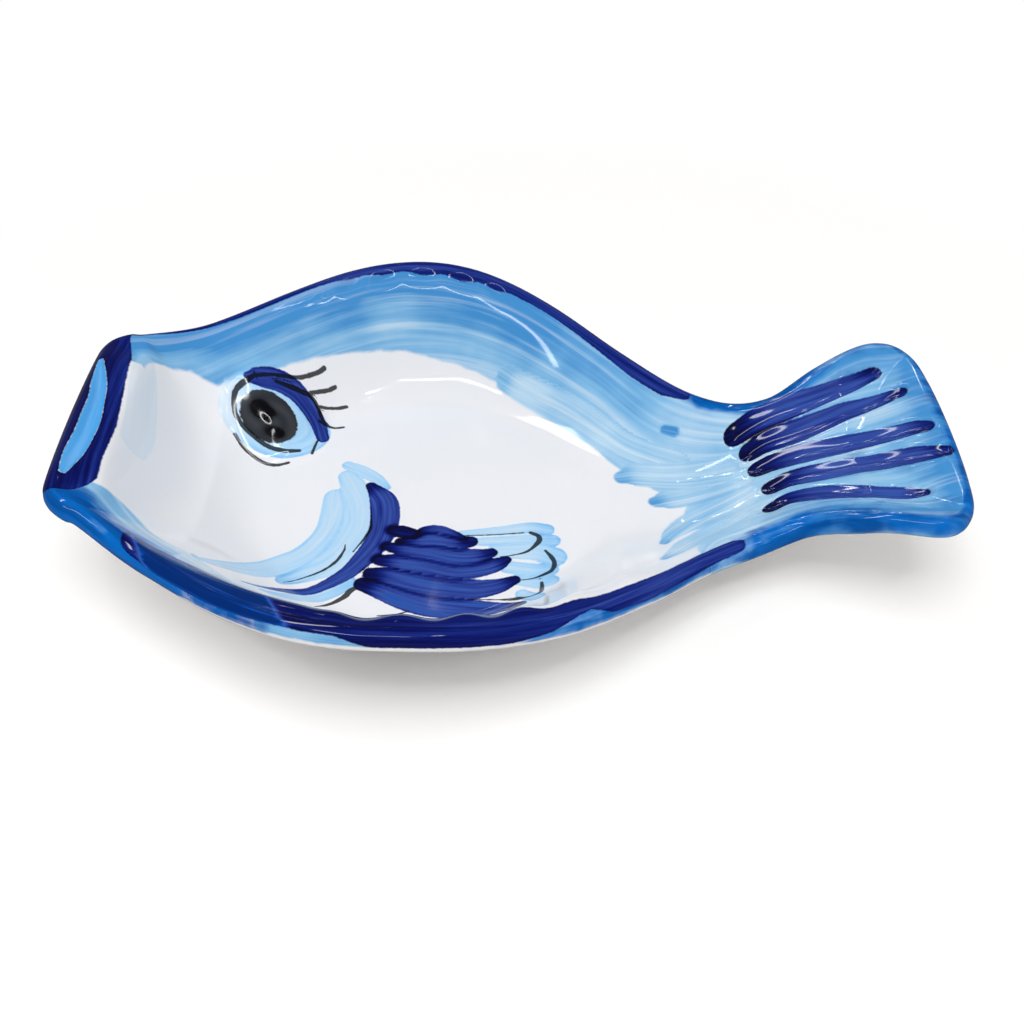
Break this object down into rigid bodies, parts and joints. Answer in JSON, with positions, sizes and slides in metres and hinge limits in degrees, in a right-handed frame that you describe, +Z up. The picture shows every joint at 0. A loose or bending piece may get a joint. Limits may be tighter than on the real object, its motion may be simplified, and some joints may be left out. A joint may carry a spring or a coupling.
{
  "type": "fish shaped platter",
  "caption": "Fish-shaped glazed clay serving platter with a deep well, rolled rim, lipped mouth, raised eye, flared tail and an oval foot.",
  "frame": {"origin": "under the middle of the platter's outline, on the plane that the foot stands on", "axes": "+X from the mouth to the tail, +Y to the back of the fish, +Z up out of the well"},
  "size_m": [0.3, 0.202, 0.0532],
  "materials": {
    "painted_glaze": "white glaze, glossy, with blue brushwork",
    "bare_clay": "unglazed fired clay, matt",
    "lip_glaze": "dark blue glaze, glossy",
    "eye_glaze": "black and blue brushwork under a glossy glaze"
  },
  "bodies": {
    "root": {"dish_shell": "painted_glaze", "foot_ring": "bare_clay", "mouth_lip": "lip_glaze", "eye_boss": "eye_glaze"}
  },
  "joints": []
}
